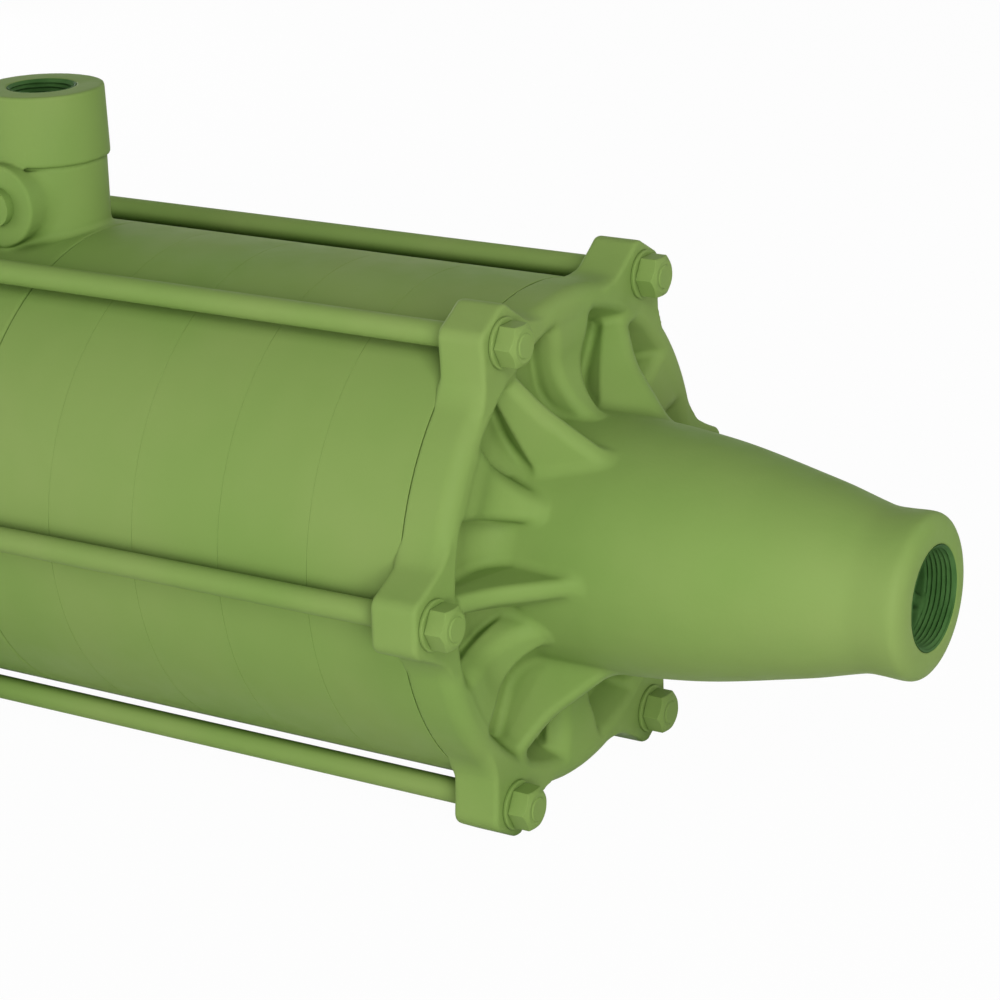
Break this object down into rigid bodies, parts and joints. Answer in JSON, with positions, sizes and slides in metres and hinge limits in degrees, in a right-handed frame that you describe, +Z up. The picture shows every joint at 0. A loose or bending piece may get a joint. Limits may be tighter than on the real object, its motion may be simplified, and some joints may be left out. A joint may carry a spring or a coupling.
{
  "type": "bare shaft multistage pump",
  "caption": "Horizontal ring-section centrifugal pump with an axial suction nose, a top discharge port, tie rods, cast feet and a bare keyed drive shaft.",
  "frame": {"origin": "centre of the suction mouth, in its end face, on the shaft axis", "axes": "+X along the shaft axis out of the suction mouth, +Z up through the discharge port, so the gauge boss faces -Y"},
  "size_m": [0.788, 0.289, 0.3215],
  "materials": {
    "green_paint": "semi-gloss enamel over cast iron",
    "bright_steel": "machined",
    "bronze": "cast",
    "seal_face": "lapped",
    "black_rubber": "matte"
  },
  "bodies": {
    "stator": {"bearing_bracket": "green_paint", "bearing_cover": "green_paint", "bearing_outer_ring_1": "bright_steel", "bearing_outer_ring_2": "bright_steel", "bracket_screws": "bright_steel", "discharge_casing": "green_paint", "drain_plug": "green_paint", "gauge_plug": "green_paint", "lip_seal": "black_rubber", "seal_cover": "green_paint", "seal_seat": "seal_face", "stage_casing_1": "green_paint", "stage_casing_2": "green_paint", "stage_casing_3": "green_paint", "stage_casing_4": "green_paint", "stage_casing_5": "green_paint", "suction_casing": "green_paint", "tail_bush": "bronze", "tie_rod_1": "green_paint", "tie_rod_2": "green_paint", "tie_rod_3": "green_paint", "tie_rod_4": "green_paint", "tie_rod_5": "green_paint", "tie_rod_6": "green_paint", "tie_rod_nuts_discharge": "green_paint", "tie_rod_nuts_suction": "green_paint"},
    "rotor": {"shaft": "bright_steel", "impeller_1": "bronze", "impeller_2": "bronze", "impeller_3": "bronze", "impeller_4": "bronze", "impeller_5": "bronze", "spacer_sleeves": "bright_steel", "impeller_key": "bright_steel", "impeller_nut": "bright_steel", "seal_rotating_ring": "seal_face", "seal_spring": "bright_steel", "bearing_inner_ring_1": "bright_steel", "bearing_inner_ring_2": "bright_steel", "bearing_spacer": "bright_steel", "bearing_locknut": "bright_steel", "flinger": "black_rubber"}
  },
  "joints": [
    {"name": "rotor_spin", "type": "hinge", "parent": "stator", "child": "rotor", "pos_m": [-0.35, 0, 0], "axis": [1, 0, 0], "continuous": true}
  ]
}
